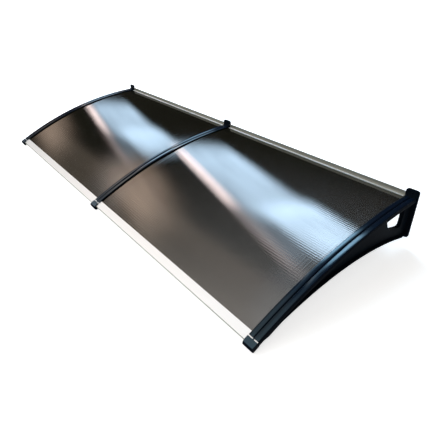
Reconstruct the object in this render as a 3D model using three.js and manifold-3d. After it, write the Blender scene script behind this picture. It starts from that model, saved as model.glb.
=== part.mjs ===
// Arched door canopy: three black moulded brackets carry two bronze plastic sheets, which are
// clamped under grooved cover strips and edged with aluminium bars at the wall and at the front.
// Millimetres. The origin is the centre of the middle wall plate's rear face, on the wall.
// +X runs along the wall, +Y goes into the wall, +Z is up, and the front edge is at -Y.
import * as THREE from 'three';
import { mergeVertices } from 'three/addons/utils/BufferGeometryUtils.js';
import Module from 'manifold-3d';

const wasm = await Module();
wasm.setup();

// Overall size
const WIDTH = 2400; // across the outer edges of the end wall plates
const PROJECTION = 905; // from the wall to the noses of the front caps
const CLEARANCE = 0.3; // between pieces that touch
const OVERCUT = 1; // how far a cut runs past the face it opens

// Arch: a circle with its crown in the wall plane. A place on it is s, the length along the
// sheet's top face from the wall, and v, the height above that face.
const ARCH_RADIUS = 2000;
const SHEET_TOP_Z = 73; // the sheet's top face at the wall
const ARCH_STEP = 48; // longest straight facet along the arch

// Sheets
const SHEET_THICKNESS = 5;
const SHEET_REAR_S = 10.5;
const SHEET_SIDE_GAP = 6.3; // from a bracket's centre line to the sheet's edge
const SHEET_IN_BAR = 20; // how far the sheet goes into the front bar

// Cover strips
const STRIP_HALF = 22.5;
const STRIP_TOP_V = 7;
const STRIP_CHAMFER = 1.2;
const STRIP_REAR_S = 22.5;
const GROOVE_HALF = 3;
const GROOVE_FLOOR_HALF = 0.8;
const GROOVE_FLOOR_V = 3.2;
const SPINE_HALF = 5; // rib under the strip, between the two sheets
const SPINE_TOP_V = 1; // inside the strip
const TONGUE_HALF = 2.5; // end of the groove's floor, reaching towards the cap

// Front bars: extruded channel with a hollow nose
const BAR_LENGTH = 38; // along the arch
const BAR_WALL = 1.8;
const BAR_SLOT_DEPTH = 22;
const BAR_NOSE_RADIUS = 3;
const BAR_BEHIND_NOSE = 13; // from the bar's front to the cap's nose
const BAR_BUTT_GAP = 0.15; // from the middle plane to each bar's inner end

// Front caps
const CAP_HALF = 22.8;
const CAP_LENGTH = 32;
const CAP_GAP = 4.5; // bare aluminium between strip and cap
const CAP_BOTTOM_WALL = 3.3;
const CAP_SIDE_WALL = 2.3;
const CAP_ROUND = 8;
const CAP_CORNER = 12; // as seen from above

// Brackets
const FLANGE_HALF = 23.5;
const FLANGE_THICKNESS = 6;
const TIP_HALF = 20.2;
const TIP_THICKNESS = 5;
const TIP_OVERLAP = 8; // where tip and flange run into each other
const RIM_HALF = 20.5; // rim along the web's underside
const RIM_THICKNESS = 5;
const WEB_HALF = 8.4; // two thin walls that are open underneath
const WEB_WALL = 3.2;
const WEB_FRONT_V = -25; // underside of the front arm
const WEB_TAPER_V = -16; // underside at the very front of the web
const WEB_TAPER_LENGTH = 30;
const WEB_FRONT_BEHIND_CAP = 15;
const BELLY_RADIUS = 1300; // arched underside of the web
const BELLY_CROWN_Y = -387;
const BELLY_CROWN_Z = -51;
const BELLY_REAR_Y = -45;
const BELLY_FRONT_Y = -765; // where the arched underside runs into the front arm
const BELLY_FOOT_Z = -92; // where the web's underside meets the wall plate
const RIB_THICKNESS = 2.6;
const RIB_PLACES = [-270, -395, -520, -645, -770]; // y of the cross ribs inside the web
const WINDOW = [[-187, 43], [-54, 49], [-58, -43], [-157, -17]]; // corners in the side view
const WINDOW_RADIUS = 18;
const UPSTAND_THICKNESS = 5.5; // closes the outer side of an end bracket

// Wall plates
const PLATE_HALF = 28;
const PLATE_HEIGHT = 220;
const PLATE_THICKNESS = 9;
const PLATE_CORNER = 12;
const PLATE_HOLE_RADIUS = 2.75;
const PLATE_HOLE_Z = [96, -101];
const HOLE_SIDES = 12;
const SHOULDER_RISE = 22; // curved neck from the strip's end up the plate
const SHOULDER_FRONT_Y = -22;

// Rear bars and their seals
const REAR_FLANGE_Y = [-8, -6];
const REAR_FLANGE_TOP_Z = 94;
const REAR_LIP_FRONT_Y = -20;
const REAR_BAR_GAP = 0.4; // from the wall plate's side to the bar's end
const LEDGE_REACH = 44; // from the bracket's centre line to the end of its ledge
const LEDGE_THICKNESS = 6;
const LEDGE_Y = [-21, -8.7];
const SEAL_BASE = 2;
const SEAL_Z = [77, 93];
const SEAL_FINS = 3;
const SEAL_FIN_GAP = 0.5;

// Screws: shank radius, head radius and head height
const STRIP_SCREW = { shank: 1.8, head: 4, headHeight: 2.6 };
const CAP_SCREW = { shank: 1.5, head: 3.2, headHeight: 2 };
const BAR_SCREW = { shank: 1.7, head: 3.4, headHeight: 2.2 };
const HEAD_CROWN = 0.8; // flat of a pan head, as a share of its radius
const SCREW_SIDES = 8;
const HOLE_PLAY = 0.35;
const STRIP_SCREW_PLACES = [36, 330, 580, 830]; // along the arch
const STRIP_SCREW_TOP_V = 1;
const FRONT_SCREW_X = 13; // from the bracket's centre line
const FRONT_SCREW_IN_BAR = 11.5; // from the bar's rear edge
const REAR_SCREW_X = 37;
const REAR_SCREW_Y = -14.5;

// Values that follow from the sizes above
const PITCH = WIDTH / 2 - PLATE_HALF;
const ARCH_CENTRE_Z = SHEET_TOP_Z - ARCH_RADIUS;
const NOSE_S = ARCH_RADIUS * Math.asin(PROJECTION / (ARCH_RADIUS + STRIP_TOP_V - CAP_ROUND));
const CAP_REAR_S = NOSE_S - CAP_LENGTH;
const STRIP_FRONT_S = CAP_REAR_S - CAP_GAP;
const BAR_FRONT_S = NOSE_S - BAR_BEHIND_NOSE;
const BAR_REAR_S = BAR_FRONT_S - BAR_LENGTH;
const WEB_FRONT_S = CAP_REAR_S - WEB_FRONT_BEHIND_CAP;
const FLANGE_TOP_V = -SHEET_THICKNESS - CLEARANCE;
const FLANGE_BOTTOM_V = FLANGE_TOP_V - FLANGE_THICKNESS;
const BAR_TOP_V = CLEARANCE + BAR_WALL;
const BAR_BOTTOM_V = FLANGE_TOP_V - BAR_WALL;
const TIP_TOP_V = BAR_BOTTOM_V - CLEARANCE;
const TIP_BOTTOM_V = TIP_TOP_V - TIP_THICKNESS;
const CAP_BOTTOM_V = TIP_BOTTOM_V - CLEARANCE - CAP_BOTTOM_WALL;
const BAR_OUTER_X = PITCH + CAP_HALF - CAP_SIDE_WALL - CLEARANCE;
const REAR_BAR_X = PLATE_HALF + REAR_BAR_GAP;
const REAR_BAR_BOTTOM_Z = SHEET_TOP_Z + BAR_BOTTOM_V;

// Finishes
const black = new THREE.MeshStandardMaterial({ color: 0x15171c, roughness: 0.42, metalness: 0 });
const bronze = new THREE.MeshStandardMaterial({
  color: 0x5a544c, roughness: 0.12, metalness: 0, transparent: true, opacity: 0.75,
});
const aluminium = new THREE.MeshStandardMaterial({ color: 0xdcdcda, roughness: 0.35, metalness: 1 });
const rubber = new THREE.MeshStandardMaterial({ color: 0x1b1b1b, roughness: 0.8, metalness: 0 });
const zinc = new THREE.MeshStandardMaterial({ color: 0xa9adb2, roughness: 0.4, metalness: 1 });

const canopy = new THREE.Group();

// The point (y, z) of a place on the arch.
function archPoint(s, v) {
  const angle = s / ARCH_RADIUS;
  const radius = ARCH_RADIUS + v;
  return new THREE.Vector2(-radius * Math.sin(angle), ARCH_CENTRE_Z + radius * Math.cos(angle));
}

// Points along the arch at one height, with facets no longer than the arch step.
function archLine(s0, s1, v) {
  const count = Math.ceil(Math.abs(s1 - s0) / ARCH_STEP);
  return Array.from({ length: count + 1 }, (_, i) => archPoint(s0 + ((s1 - s0) * i) / count, v));
}

// Points along the web's arched underside, or along a line that runs a little above it.
function bellyLine(y0, y1, rise = 0) {
  const count = Math.ceil(Math.abs(y1 - y0) / ARCH_STEP);
  return Array.from({ length: count + 1 }, (_, i) => {
    const y = y0 + ((y1 - y0) * i) / count;
    const drop = BELLY_RADIUS - Math.sqrt((BELLY_RADIUS + rise) ** 2 - (y - BELLY_CROWN_Y) ** 2);
    return new THREE.Vector2(y, BELLY_CROWN_Z - drop);
  });
}

// A rectangle as an outline.
function rectangle(x0, x1, y0, y1) {
  return new THREE.Shape([[x0, y0], [x1, y0], [x1, y1], [x0, y1]].map((p) => new THREE.Vector2(...p)));
}

// An outline through the given corners, each rounded by the same radius along its edges.
function roundedOutline(corners, radius) {
  const points = corners.map((corner) => new THREE.Vector2(...corner));
  const outline = new THREE.Shape();
  points.forEach((corner, i) => {
    const before = points[(i + points.length - 1) % points.length];
    const after = points[(i + 1) % points.length];
    const entry = corner.clone().add(before.clone().sub(corner).setLength(radius));
    const exit = corner.clone().add(after.clone().sub(corner).setLength(radius));
    if (i === 0) outline.moveTo(entry.x, entry.y);
    else outline.lineTo(entry.x, entry.y);
    outline.quadraticCurveTo(corner.x, corner.y, exit.x, exit.y);
  });
  return outline;
}

// The corners of a convex outline, moved out or in by the same distance on every edge.
function grown(corners, distance) {
  const points = corners.map((corner) => new THREE.Vector2(...corner));
  const clockwise = THREE.ShapeUtils.isClockWise(points);
  const outward = points.map((corner, i) => {
    const along = points[(i + 1) % points.length].clone().sub(corner).normalize();
    return clockwise ? new THREE.Vector2(-along.y, along.x) : new THREE.Vector2(along.y, -along.x);
  });
  return points.map((corner, i) => {
    const before = outward[(i + points.length - 1) % points.length];
    const bisector = outward[i].clone().add(before);
    return corner.clone().add(bisector.multiplyScalar(distance / (1 + outward[i].dot(before)))).toArray();
  });
}

// A side-view outline (y, z) carried across the canopy from x0 to x1.
function across(outline, x0, x1, curveSegments = 4) {
  const geometry = new THREE.ExtrudeGeometry(outline, { depth: x1 - x0, bevelEnabled: false, curveSegments });
  const turn = new THREE.Matrix4().makeBasis(
    new THREE.Vector3(0, 1, 0), new THREE.Vector3(0, 0, 1), new THREE.Vector3(1, 0, 0),
  );
  return geometry.applyMatrix4(turn).translate(x0, 0, 0);
}

// A section (x, v) carried along the arch from s0 to s1.
function alongArch(section, s0, s1) {
  const steps = Math.ceil((s1 - s0) / ARCH_STEP);
  const geometry = new THREE.ExtrudeGeometry(section, { depth: s1 - s0, steps, bevelEnabled: false });
  const place = geometry.attributes.position;
  for (let i = 0; i < place.count; i += 1) {
    const point = archPoint(s0 + place.getZ(i), place.getY(i));
    place.setXYZ(i, place.getX(i), point.x, point.y);
  }
  return geometry;
}

// A front-view outline (x, z) carried from y0 back to the wall at y1.
function towardsWall(outline, y0, y1, curveSegments = 4) {
  const geometry = new THREE.ExtrudeGeometry(outline, { depth: y1 - y0, bevelEnabled: false, curveSegments });
  return geometry.rotateX(Math.PI / 2).translate(0, y1, 0);
}

// An outline seen from above (x, y) carried up from z0 to z1.
function upwards(outline, z0, z1, curveSegments = 4) {
  const geometry = new THREE.ExtrudeGeometry(outline, { depth: z1 - z0, bevelEnabled: false, curveSegments });
  return geometry.translate(0, 0, z0);
}

// A solid of revolution about the arch's normal at s, from heights and radii.
function turned(profile, x, s) {
  const points = profile.map(([radius, height]) => new THREE.Vector2(radius, height));
  const geometry = new THREE.LatheGeometry(points, SCREW_SIDES);
  const foot = archPoint(s, 0);
  geometry.rotateX(Math.PI / 2 + s / ARCH_RADIUS);
  return geometry.translate(x, foot.x, foot.y);
}

// A pan-head screw that points up, with its shank's end at topV and its head under seatV.
function screwProfile(screw, seatV, topV) {
  const headV = seatV - CLEARANCE - screw.headHeight;
  return [[0, headV], [screw.head * HEAD_CROWN, headV], [screw.head, headV + screw.headHeight / 2],
    [screw.head, headV + screw.headHeight], [screw.shank, headV + screw.headHeight],
    [screw.shank, topV - screw.shank], [0, topV]];
}

// A round hole for a screw, between two heights.
function holeProfile(screw, bottomV, topV) {
  const radius = screw.shank + HOLE_PLAY;
  return [[0, bottomV], [radius, bottomV], [radius, topV], [0, topV]];
}

// A closed geometry as a solid that can be joined and cut. Corners closer than this are one.
const WELD_DISTANCE = 1e-4;
function solid(geometry) {
  geometry.deleteAttribute('normal');
  geometry.deleteAttribute('uv');
  const welded = mergeVertices(geometry, WELD_DISTANCE);
  return new wasm.Manifold(new wasm.Mesh({
    numProp: 3,
    vertProperties: new Float32Array(welded.attributes.position.array),
    triVerts: new Uint32Array(welded.index.array),
  }));
}

// Joins solids into one.
function joined(solids) {
  return solids.reduce((whole, piece) => whole.add(piece));
}

// Puts a solid into a group as a named piece.
function place(group, name, piece, material) {
  const { vertProperties, triVerts } = piece.getMesh();
  const geometry = new THREE.BufferGeometry();
  geometry.setAttribute('position', new THREE.BufferAttribute(vertProperties, 3));
  geometry.setIndex(new THREE.BufferAttribute(triVerts, 1));
  geometry.computeVertexNormals();
  const mesh = new THREE.Mesh(geometry, material);
  mesh.name = name;
  group.add(mesh);
}

// The three brackets: where each stands, and on which sides it carries a sheet.
const BRACKETS = [
  { side: 'left', x: -PITCH, sheets: [1] },
  { side: 'middle', x: 0, sheets: [-1, 1] },
  { side: 'right', x: PITCH, sheets: [-1] },
];

// The two bays between the brackets, from one bracket's centre line to the next.
const BAYS = [
  { side: 'left', x0: -PITCH, x1: 0 },
  { side: 'right', x0: 0, x1: PITCH },
];

// The web of a bracket: two thin walls with cross ribs between them and a walled window, recessed
// on both sides between the flange above and a rim along the underside, and open underneath.
function webSolid() {
  const armJoinS = ARCH_RADIUS * Math.asin(-BELLY_FRONT_Y / (ARCH_RADIUS + WEB_FRONT_V));
  const armFrontS = WEB_FRONT_S - WEB_TAPER_LENGTH;
  const inFlangeV = (FLANGE_TOP_V + FLANGE_BOTTOM_V) / 2;
  const inPlateY = -PLATE_THICKNESS / 2;
  const side = new THREE.Shape([
    ...archLine(-inPlateY, BAR_REAR_S - TIP_OVERLAP, inFlangeV),
    archPoint(WEB_FRONT_S, (TIP_TOP_V + TIP_BOTTOM_V) / 2),
    archPoint(WEB_FRONT_S, WEB_TAPER_V),
    ...archLine(armFrontS, armJoinS, WEB_FRONT_V),
    ...bellyLine(BELLY_FRONT_Y, BELLY_REAR_Y).slice(1),
    new THREE.Vector2(inPlateY, BELLY_FOOT_Z),
  ]);
  const recessSide = new THREE.Shape([
    ...archLine(-inPlateY, armFrontS, FLANGE_BOTTOM_V),
    ...archLine(armFrontS, armJoinS, WEB_FRONT_V + RIM_THICKNESS),
    ...bellyLine(BELLY_FRONT_Y, BELLY_REAR_Y, RIM_THICKNESS).slice(1),
    new THREE.Vector2(inPlateY, BELLY_FOOT_Z + RIM_THICKNESS),
  ]);
  const recesses = [[WEB_HALF, PLATE_HALF], [-PLATE_HALF, -WEB_HALF]].map((reach) => solid(
    across(recessSide, ...reach),
  ));
  const pocketRearS = PLATE_THICKNESS + 2 * WEB_WALL;
  const pocketTopV = FLANGE_BOTTOM_V - CLEARANCE;
  const belowZ = -PLATE_HEIGHT;
  const roof = archLine(pocketRearS, WEB_FRONT_S - WEB_WALL, pocketTopV);
  const pocketSide = new THREE.Shape([
    ...roof,
    new THREE.Vector2(roof[roof.length - 1].x, belowZ),
    new THREE.Vector2(roof[0].x, belowZ),
  ]);
  const pocketHalf = WEB_HALF - WEB_WALL;
  const ribs = RIB_PLACES.map((y) => solid(across(
    rectangle(y - RIB_THICKNESS / 2, y + RIB_THICKNESS / 2, belowZ, SHEET_TOP_Z), -WEB_HALF, WEB_HALF,
  )));
  const collar = solid(across(
    roundedOutline(grown(WINDOW, WEB_WALL), WINDOW_RADIUS + WEB_WALL), -WEB_HALF, WEB_HALF,
  ));
  const pocket = solid(across(pocketSide, -pocketHalf, pocketHalf)).subtract(joined([...ribs, collar]));
  const opening = solid(across(roundedOutline(WINDOW, WINDOW_RADIUS), -RIM_HALF, RIM_HALF));
  return solid(across(side, -RIM_HALF, RIM_HALF)).subtract(joined(recesses)).subtract(pocket)
    .subtract(opening);
}

// The wall plate with its two screw holes, and the curved neck above the strip's rear end.
function plateSolid() {
  const halfHeight = PLATE_HEIGHT / 2;
  const corners = [[-PLATE_HALF, -halfHeight], [PLATE_HALF, -halfHeight], [PLATE_HALF, halfHeight],
    [-PLATE_HALF, halfHeight]];
  const plate = solid(towardsWall(roundedOutline(corners, PLATE_CORNER), -PLATE_THICKNESS, 0));
  const holes = PLATE_HOLE_Z.map((z) => {
    const depth = 4 * PLATE_THICKNESS;
    const bore = new THREE.CylinderGeometry(PLATE_HOLE_RADIUS, PLATE_HOLE_RADIUS, depth, HOLE_SIDES);
    return solid(bore.translate(0, 0, z));
  });
  const stripTopZ = SHEET_TOP_Z + STRIP_TOP_V;
  const neck = new THREE.Shape();
  neck.moveTo(-PLATE_THICKNESS / 2, SHEET_TOP_Z + CLEARANCE);
  neck.lineTo(-PLATE_THICKNESS / 2, stripTopZ + SHOULDER_RISE);
  neck.lineTo(-PLATE_THICKNESS, stripTopZ + SHOULDER_RISE);
  neck.quadraticCurveTo(-PLATE_THICKNESS, stripTopZ, SHOULDER_FRONT_Y, stripTopZ);
  neck.lineTo(SHOULDER_FRONT_Y, SHEET_TOP_Z + CLEARANCE);
  return plate.add(solid(across(neck, -STRIP_HALF, STRIP_HALF))).subtract(joined(holes));
}

// One bracket as moulded, standing on the middle plane. On the outer side of an end bracket an upstand
// closes the sheet's edge, and a cheek in front of it closes the bar's end.
function bracketSolid(sheets) {
  const flange = rectangle(-FLANGE_HALF, FLANGE_HALF, FLANGE_BOTTOM_V, FLANGE_TOP_V);
  const tip = rectangle(-TIP_HALF, TIP_HALF, TIP_BOTTOM_V, TIP_TOP_V);
  const parts = [
    webSolid(),
    plateSolid(),
    solid(alongArch(flange, PLATE_THICKNESS / 2, BAR_REAR_S - CLEARANCE)),
    solid(alongArch(tip, BAR_REAR_S - TIP_OVERLAP, BAR_FRONT_S - CLEARANCE)),
  ];
  const ledgeTopZ = REAR_BAR_BOTTOM_Z - CLEARANCE;
  sheets.forEach((sign) => {
    const ends = [sign * (FLANGE_HALF - WEB_WALL), sign * LEDGE_REACH].sort((a, b) => a - b);
    const ledge = rectangle(...LEDGE_Y, ledgeTopZ - LEDGE_THICKNESS, ledgeTopZ);
    parts.push(solid(across(ledge, ...ends)));
  });
  if (sheets.length === 1) {
    const outerWall = (inner, bottomV, topV) => {
      const reach = [-sheets[0] * inner, -sheets[0] * FLANGE_HALF].sort((a, b) => a - b);
      return rectangle(...reach, bottomV, topV);
    };
    const cheekInner = CAP_HALF - CAP_SIDE_WALL;
    const cheekRearS = BAR_REAR_S - TIP_OVERLAP;
    const cheekFrontS = CAP_REAR_S - CLEARANCE;
    const upstand = outerWall(FLANGE_HALF - UPSTAND_THICKNESS, FLANGE_BOTTOM_V, 0);
    const cheek = outerWall(cheekInner, TIP_BOTTOM_V, 0);
    const cheekTop = outerWall(cheekInner, FLANGE_TOP_V, BAR_TOP_V);
    const cheekFoot = outerWall(0, TIP_BOTTOM_V, TIP_TOP_V);
    parts.push(
      solid(alongArch(upstand, PLATE_THICKNESS / 2, BAR_REAR_S - CLEARANCE)),
      solid(alongArch(cheek, cheekRearS, cheekFrontS)),
      solid(alongArch(cheekTop, BAR_REAR_S - CLEARANCE, cheekFrontS)),
      solid(alongArch(cheekFoot, cheekRearS, cheekFrontS)),
    );
  }
  const strip = STRIP_SCREW_PLACES.map((s) => turned(holeProfile(STRIP_SCREW, WEB_FRONT_V, 0), 0, s));
  const front = sheets.map((sign) => turned(
    holeProfile(BAR_SCREW, CAP_BOTTOM_V, 0), sign * FRONT_SCREW_X, BAR_REAR_S + FRONT_SCREW_IN_BAR,
  ));
  const rear = sheets.map((sign) => turned(
    holeProfile(BAR_SCREW, WEB_FRONT_V, FLANGE_TOP_V), sign * REAR_SCREW_X, -REAR_SCREW_Y,
  ));
  const cap = turned(holeProfile(CAP_SCREW, CAP_BOTTOM_V, 0), 0, capScrewS());
  return joined(parts).subtract(joined([...strip, ...front, ...rear, cap].map(solid)));
}

// The place of the cap's screw along the arch.
function capScrewS() {
  return CAP_REAR_S + CAP_LENGTH / 3;
}

// A cover strip: flat plate with a V-groove on top and a spine underneath, cut back over the front bars.
function stripSolid() {
  const edgeV = STRIP_TOP_V - STRIP_CHAMFER;
  const half = [[STRIP_HALF, edgeV], [STRIP_HALF - STRIP_CHAMFER, STRIP_TOP_V], [GROOVE_HALF, STRIP_TOP_V],
    [GROOVE_FLOOR_HALF, GROOVE_FLOOR_V]];
  const mirrored = half.map(([x, v]) => [-x, v]).reverse();
  const section = (bottomV) => new THREE.Shape(
    [[STRIP_HALF, bottomV], ...half, ...mirrored, [-STRIP_HALF, bottomV]].map((p) => new THREE.Vector2(...p)),
  );
  const overBarV = BAR_TOP_V + CLEARANCE;
  const spine = rectangle(-SPINE_HALF, SPINE_HALF, -SHEET_THICKNESS, SPINE_TOP_V);
  const tongue = rectangle(-TONGUE_HALF, TONGUE_HALF, overBarV, GROOVE_FLOOR_V);
  const whole = joined([
    solid(alongArch(section(CLEARANCE), STRIP_REAR_S, BAR_REAR_S - 2 * CLEARANCE)),
    solid(alongArch(section(overBarV), BAR_REAR_S - TIP_OVERLAP, STRIP_FRONT_S)),
    solid(alongArch(spine, STRIP_REAR_S, BAR_REAR_S - 2 * CLEARANCE)),
    solid(alongArch(tongue, STRIP_FRONT_S - TIP_OVERLAP, CAP_REAR_S - CLEARANCE)),
  ]);
  const pilotTopV = STRIP_SCREW_TOP_V + 2 * CLEARANCE;
  const holes = STRIP_SCREW_PLACES.map((s) => turned(
    holeProfile(STRIP_SCREW, FLANGE_BOTTOM_V, pilotTopV), 0, s,
  ));
  return whole.subtract(joined(holes.map(solid)));
}

// A front cap: a clip round the bar's front and the bracket's tip, with a side wall on an end bracket
// and with rounded front corners.
function capSolid(sheets) {
  const innerFrontS = BAR_FRONT_S + 2 * CLEARANCE;
  const nose = new THREE.Shape();
  const begin = archPoint(CAP_REAR_S, CAP_BOTTOM_V);
  nose.moveTo(begin.x, begin.y);
  const stretches = [
    [archPoint(NOSE_S - CAP_ROUND, CAP_BOTTOM_V)],
    [archPoint(NOSE_S, CAP_BOTTOM_V), archPoint(NOSE_S, CAP_BOTTOM_V + CAP_ROUND)],
    [archPoint(NOSE_S, STRIP_TOP_V - CAP_ROUND)],
    [archPoint(NOSE_S, STRIP_TOP_V), archPoint(NOSE_S - CAP_ROUND, STRIP_TOP_V)],
    [archPoint(CAP_REAR_S, STRIP_TOP_V)],
  ];
  stretches.forEach(([first, second]) => {
    if (second) nose.quadraticCurveTo(first.x, first.y, second.x, second.y);
    else nose.lineTo(first.x, first.y);
  });
  const hollow = new THREE.Shape([
    archPoint(CAP_REAR_S - CAP_GAP, TIP_BOTTOM_V - CLEARANCE),
    archPoint(innerFrontS, TIP_BOTTOM_V - CLEARANCE),
    archPoint(innerFrontS, BAR_TOP_V + CLEARANCE),
    archPoint(CAP_REAR_S - CAP_GAP, BAR_TOP_V + CLEARANCE),
  ]);
  const frontY = archPoint(NOSE_S, STRIP_TOP_V).x;
  const plan = roundedOutline([[-CAP_HALF, frontY], [CAP_HALF, frontY], [CAP_HALF, 0], [-CAP_HALF, 0]],
    CAP_CORNER);
  const reach = (sign) => (sheets.includes(sign) ? CAP_HALF + OVERCUT : CAP_HALF - CAP_SIDE_WALL);
  return solid(across(nose, -CAP_HALF - OVERCUT, CAP_HALF + OVERCUT))
    .intersect(solid(upwards(plan, -PLATE_HEIGHT, PLATE_HEIGHT)))
    .subtract(solid(across(hollow, -reach(-1), reach(1))))
    .subtract(solid(turned(holeProfile(CAP_SCREW, 2 * CAP_BOTTOM_V, TIP_BOTTOM_V), 0, capScrewS())));
}

// A front bar: a slot for the sheet's front edge and a hollow nose, with a hole for each end's screw.
function frontBarSolid(x0, x1, screwPlaces) {
  const at = (u, v) => archPoint(BAR_REAR_S + u, v);
  const slotTopV = CLEARANCE;
  const corners = [at(0, BAR_BOTTOM_V), at(BAR_LENGTH, BAR_BOTTOM_V), at(BAR_LENGTH, BAR_TOP_V),
    at(0, BAR_TOP_V)];
  const outline = new THREE.Shape();
  outline.moveTo(corners[0].x, corners[0].y);
  [1, 2].forEach((i) => {
    const entry = corners[i].clone().add(corners[i - 1].clone().sub(corners[i]).setLength(BAR_NOSE_RADIUS));
    const exit = corners[i].clone().add(corners[i + 1].clone().sub(corners[i]).setLength(BAR_NOSE_RADIUS));
    outline.lineTo(entry.x, entry.y);
    outline.quadraticCurveTo(corners[i].x, corners[i].y, exit.x, exit.y);
  });
  [corners[3], at(0, slotTopV), at(BAR_SLOT_DEPTH, slotTopV), at(BAR_SLOT_DEPTH, FLANGE_TOP_V),
    at(0, FLANGE_TOP_V)].forEach((point) => outline.lineTo(point.x, point.y));
  const cellRear = BAR_SLOT_DEPTH + BAR_WALL;
  const cellFront = BAR_LENGTH - BAR_WALL;
  outline.holes.push(new THREE.Path([at(cellRear, slotTopV), at(cellFront, slotTopV),
    at(cellFront, FLANGE_TOP_V), at(cellRear, FLANGE_TOP_V)]));
  const holes = screwPlaces.map((x) => turned(
    holeProfile(BAR_SCREW, TIP_BOTTOM_V, -SHEET_THICKNESS), x, BAR_REAR_S + FRONT_SCREW_IN_BAR,
  ));
  return solid(across(outline, x0, x1)).subtract(joined(holes.map(solid)));
}

// A rear bar: an upright flange along the wall with two lips that hold the sheet's rear edge.
function rearBarSolid(x0, x1) {
  const [front, back] = REAR_FLANGE_Y;
  const lip = REAR_LIP_FRONT_Y;
  const at = (v) => SHEET_TOP_Z + v;
  const outline = new THREE.Shape([
    [back, at(BAR_BOTTOM_V)], [back, REAR_FLANGE_TOP_Z], [front, REAR_FLANGE_TOP_Z], [front, at(BAR_TOP_V)],
    [lip, at(BAR_TOP_V)], [lip, at(CLEARANCE)], [front, at(CLEARANCE)], [front, at(FLANGE_TOP_V)],
    [lip, at(FLANGE_TOP_V)], [lip, at(BAR_BOTTOM_V)],
  ].map((point) => new THREE.Vector2(...point)));
  const inset = REAR_SCREW_X - REAR_BAR_X;
  const holes = [x0 + inset, x1 - inset].map((x) => turned(
    holeProfile(BAR_SCREW, TIP_BOTTOM_V, -SHEET_THICKNESS), x, -REAR_SCREW_Y,
  ));
  return solid(across(outline, x0, x1)).subtract(joined(holes.map(solid)));
}

// A rubber seal: a flat base on the rear bar's flange with fins that press on the wall.
function sealSolid(x0, x1) {
  const baseY = REAR_FLANGE_Y[1] + CLEARANCE;
  const [bottomZ, topZ] = SEAL_Z;
  const finPitch = (topZ - bottomZ) / SEAL_FINS;
  const points = [[baseY, bottomZ]];
  for (let i = 0; i < SEAL_FINS; i += 1) {
    const z = bottomZ + i * finPitch;
    points.push([baseY + SEAL_BASE, z], [0, z + finPitch / 3], [0, z + (finPitch * 2) / 3],
      [baseY + SEAL_BASE, z + finPitch - SEAL_FIN_GAP]);
  }
  points.push([baseY + SEAL_BASE, topZ], [baseY, topZ]);
  return solid(across(new THREE.Shape(points.map((point) => new THREE.Vector2(...point))), x0, x1));
}

// Everything that stands on a bracket: the moulding, its cover strip and cap, and their screws.
BRACKETS.forEach(({ side, x, sheets }) => {
  const group = new THREE.Group();
  group.position.x = x;
  canopy.add(group);
  place(group, `bracket_${side}`, bracketSolid(sheets), black);
  place(group, `cover_strip_${side}`, stripSolid(), black);
  place(group, `front_cap_${side}`, capSolid(sheets), black);
  STRIP_SCREW_PLACES.forEach((s, i) => {
    const profile = screwProfile(STRIP_SCREW, FLANGE_BOTTOM_V - CLEARANCE, STRIP_SCREW_TOP_V);
    place(group, `strip_screw_${side}_${i + 1}`, solid(turned(profile, 0, s)), zinc);
  });
  const capProfile = screwProfile(CAP_SCREW, CAP_BOTTOM_V, TIP_TOP_V - CLEARANCE);
  place(group, `cap_screw_${side}`, solid(turned(capProfile, 0, capScrewS())), zinc);
});

// Everything that spans a bay: the sheet, its two bars, the wall seal and the bars' screws.
BAYS.forEach(({ side, x0, x1 }) => {
  const sheet = rectangle(x0 + SHEET_SIDE_GAP, x1 - SHEET_SIDE_GAP, -SHEET_THICKNESS, 0);
  place(canopy, `sheet_${side}`, solid(alongArch(sheet, SHEET_REAR_S, BAR_REAR_S + SHEET_IN_BAR)), bronze);
  const barX0 = x0 < 0 ? -BAR_OUTER_X : BAR_BUTT_GAP;
  const barX1 = x0 < 0 ? -BAR_BUTT_GAP : BAR_OUTER_X;
  const frontScrews = [x0 + FRONT_SCREW_X, x1 - FRONT_SCREW_X];
  place(canopy, `front_bar_${side}`, frontBarSolid(barX0, barX1, frontScrews), aluminium);
  place(canopy, `rear_bar_${side}`, rearBarSolid(x0 + REAR_BAR_X, x1 - REAR_BAR_X), aluminium);
  place(canopy, `wall_seal_${side}`, sealSolid(x0 + REAR_BAR_X, x1 - REAR_BAR_X), rubber);
  const frontProfile = screwProfile(BAR_SCREW, TIP_BOTTOM_V, -SHEET_THICKNESS - CLEARANCE);
  const ledgeBottomV = BAR_BOTTOM_V - CLEARANCE - LEDGE_THICKNESS;
  const rearProfile = screwProfile(BAR_SCREW, ledgeBottomV, -SHEET_THICKNESS - CLEARANCE);
  ['outer', 'inner'].forEach((end) => {
    const atLeft = (end === 'outer') === (x0 < 0);
    const frontX = atLeft ? x0 + FRONT_SCREW_X : x1 - FRONT_SCREW_X;
    const rearX = atLeft ? x0 + REAR_SCREW_X : x1 - REAR_SCREW_X;
    const frontS = BAR_REAR_S + FRONT_SCREW_IN_BAR;
    place(canopy, `front_bar_screw_${side}_${end}`, solid(turned(frontProfile, frontX, frontS)), zinc);
    place(canopy, `rear_bar_screw_${side}_${end}`, solid(turned(rearProfile, rearX, -REAR_SCREW_Y)), zinc);
  });
});

export default canopy;
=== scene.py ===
"""Arched door canopy: bronze twin-wall sheets on three black brackets, edged with aluminium bars."""
import math

import bmesh
import bpy
import numpy as np
from mathutils import Matrix, Vector


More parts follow.
